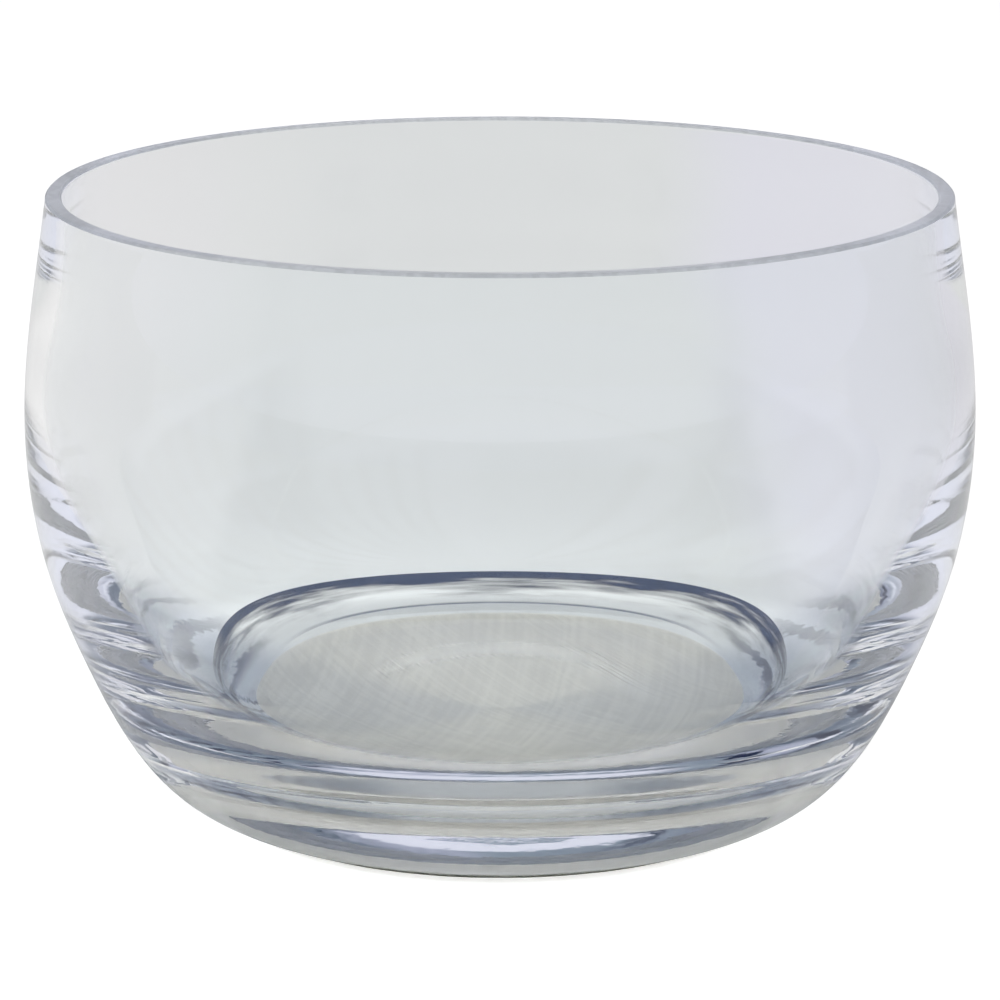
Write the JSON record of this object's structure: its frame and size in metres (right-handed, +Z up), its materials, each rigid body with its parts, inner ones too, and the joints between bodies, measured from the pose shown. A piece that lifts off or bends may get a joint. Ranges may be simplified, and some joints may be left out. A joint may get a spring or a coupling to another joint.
{
  "type": "rose bowl vase",
  "caption": "Clear glass rose bowl vase: a round bellied bowl with a wide ground rim, a heavy floor and a ground foot, for floating blooms or short stems.",
  "frame": {"origin": "centre of the resting plane under the foot, on the bowl's axis of symmetry", "axes": "+Z up along the bowl's axis of symmetry, out of the mouth; +X to the right and +Y away from the viewer, both arbitrary because the bowl is round"},
  "size_m": [0.1902, 0.1902, 0.1265],
  "materials": {
    "clear_glass": "clear polished soda-lime glass with a faint cool grey tint; the rim is ground flat with polished edges and the resting face is finely ground"
  },
  "bodies": {
    "root": {"glass_bowl": "clear_glass"}
  },
  "joints": []
}
